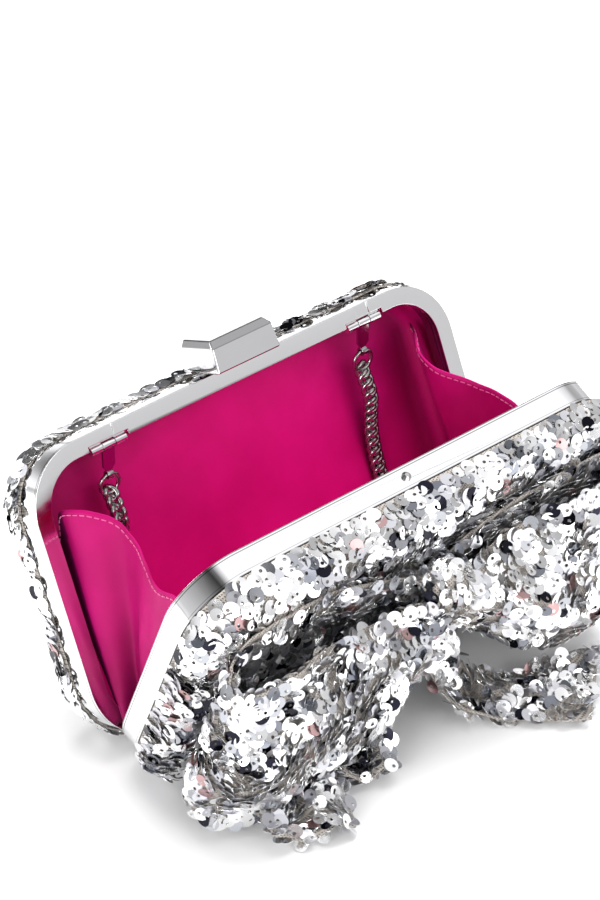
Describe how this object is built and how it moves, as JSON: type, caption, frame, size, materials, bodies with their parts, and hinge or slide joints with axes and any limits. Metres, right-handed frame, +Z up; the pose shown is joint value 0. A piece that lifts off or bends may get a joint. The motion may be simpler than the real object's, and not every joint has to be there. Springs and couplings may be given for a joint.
{
  "type": "evening bag",
  "caption": "Hinged hard-shell box clutch with polished metal frames, sequinned covers, a soft bow, satin lining, side gussets, press clasp and drop-in chain.",
  "frame": {"origin": "centre of the bounding box on the floor the open bag stands on", "axes": "+X along the bag's length, +Y towards the rear half, +Z up"},
  "size_m": [0.2, 0.1613, 0.1266],
  "materials": {
    "polished_nickel": "mirror-polished nickel plate",
    "nickel_hardware": "polished nickel plate",
    "steel_pins": "bare steel wire",
    "shell_board": "moulded board",
    "sequin_cover": "silver sequins on taupe mesh",
    "sequin_bow": "silver sequins on taupe mesh",
    "pink_lining": "fuchsia satin",
    "pink_gusset": "fuchsia faille, edge-stitched",
    "chain": "polished gunmetal"
  },
  "bodies": {
    "rear": {"rear_frame": "polished_nickel", "rear_shell": "shell_board", "rear_cover": "sequin_cover", "rear_lining": "pink_lining", "rear_hinge_leaves": "nickel_hardware", "hinge_pins": "steel_pins", "clasp_base": "polished_nickel", "clasp_rivets": "steel_pins", "clasp_pin": "steel_pins", "clasp_spring": "steel_pins", "bail_brackets": "nickel_hardware", "bail_pins": "steel_pins", "left_gusset": "pink_gusset", "right_gusset": "pink_gusset"},
    "front": {"front_frame": "polished_nickel", "front_shell": "shell_board", "front_cover": "sequin_cover", "front_lining": "pink_lining", "front_hinge_leaves": "nickel_hardware", "clasp_stud": "polished_nickel", "bow_knot": "sequin_bow", "bow_left_loop": "sequin_bow", "bow_right_loop": "sequin_bow", "bow_left_tail": "sequin_bow", "bow_short_tail": "sequin_bow", "bow_right_tail": "sequin_bow"},
    "clasp": {"clasp_block": "polished_nickel", "clasp_catch": "polished_nickel"},
    "left_bail": {"left_bail_tab": "nickel_hardware"},
    "right_bail": {"right_bail_tab": "nickel_hardware"},
    "chain": {"left_ring": "nickel_hardware", "right_ring": "nickel_hardware", "left_chain_drop": "chain", "right_chain_drop": "chain", "chain_hank": "chain"}
  },
  "joints": [
    {"name": "frame_hinge", "type": "hinge", "parent": "rear", "child": "front", "pos_m": [0, 0.01623, 0.00791], "axis": [1, 0, 0], "range_deg": [-47, 0], "deforming": ["left_gusset", "right_gusset"]},
    {"name": "clasp_press", "type": "hinge", "parent": "rear", "child": "clasp", "pos_m": [0, 0.07046, 0.11158], "axis": [1, 0, 0], "range_deg": [0, 4], "stiffness_Nm_per_rad": 0.02, "springref_deg": -17.19},
    {"name": "left_bail_swing", "type": "hinge", "parent": "rear", "child": "left_bail", "pos_m": [-0.0615, 0.05988, 0.10343], "axis": [-1, 0, 0], "range_deg": [0, 100]},
    {"name": "right_bail_swing", "type": "hinge", "parent": "rear", "child": "right_bail", "pos_m": [0.0615, 0.05988, 0.10343], "axis": [-1, 0, 0], "range_deg": [0, 100]},
    {"name": "chain_hang", "type": "hinge", "parent": "left_bail", "child": "chain", "pos_m": [-0.0615, 0.05988, 0.09043], "axis": [-1, 0, 0], "range_deg": [-112, 0]}
  ],
  "couplings": [
    {"joint": "right_bail_swing", "follows": "left_bail_swing", "ratio": 1},
    {"joint": "chain_hang", "follows": "left_bail_swing", "ratio": -1.12}
  ]
}
